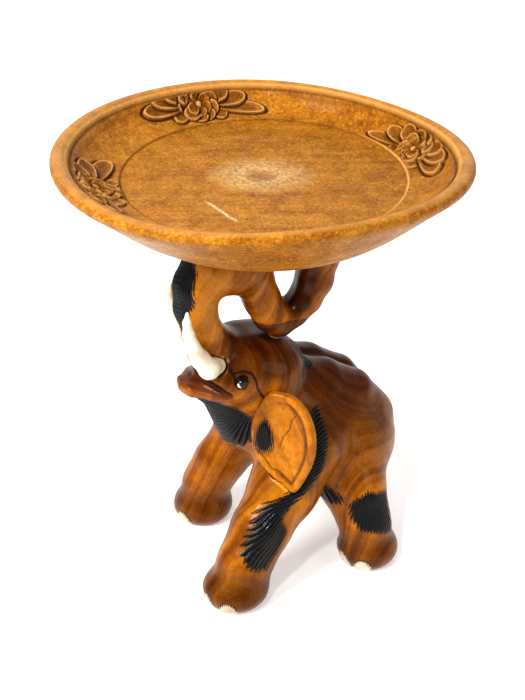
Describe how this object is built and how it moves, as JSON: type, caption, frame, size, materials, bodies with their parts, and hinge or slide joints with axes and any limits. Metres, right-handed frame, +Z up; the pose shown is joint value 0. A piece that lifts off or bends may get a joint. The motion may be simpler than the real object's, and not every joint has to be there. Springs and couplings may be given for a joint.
{
  "type": "carved elephant side table",
  "caption": "Carved wooden elephant standing on four feet, whose raised looped trunk carries a wide dished tray with a rolled lip.",
  "frame": {"origin": "floor under the middle of the tray, which is the middle of the bounding box", "axes": "+Z up; the elephant faces -Y and its left side is +X"},
  "size_m": [0.3961, 0.4086, 0.473],
  "materials": {
    "stained_wood": "honey brown stain under satin varnish, dark in the carved lines",
    "tray_wood": "golden brown stain under satin varnish",
    "ear_wood": "honey brown stain under satin varnish, worn along the edge",
    "tusk_cream": "cream paint on wood, slightly pitted",
    "nail_cream": "cream paint on wood, chipped",
    "eye_glass": "polished black bead",
    "dowel_wood": "bare wood, hidden inside"
  },
  "bodies": {
    "root": {"elephant_figure": "stained_wood", "tray": "tray_wood", "ear_left": "ear_wood", "ear_right": "ear_wood", "tusk_left": "tusk_cream", "tusk_right": "tusk_cream", "eye_left": "eye_glass", "eye_right": "eye_glass", "toenail_front_left_1": "nail_cream", "toenail_front_left_2": "nail_cream", "toenail_front_left_3": "nail_cream", "toenail_front_right_1": "nail_cream", "toenail_front_right_2": "nail_cream", "toenail_front_right_3": "nail_cream", "toenail_rear_left_1": "nail_cream", "toenail_rear_left_2": "nail_cream", "toenail_rear_left_3": "nail_cream", "toenail_rear_right_1": "nail_cream", "toenail_rear_right_2": "nail_cream", "toenail_rear_right_3": "nail_cream", "tray_dowel_front": "dowel_wood", "tray_dowel_rear": "dowel_wood"}
  },
  "joints": []
}
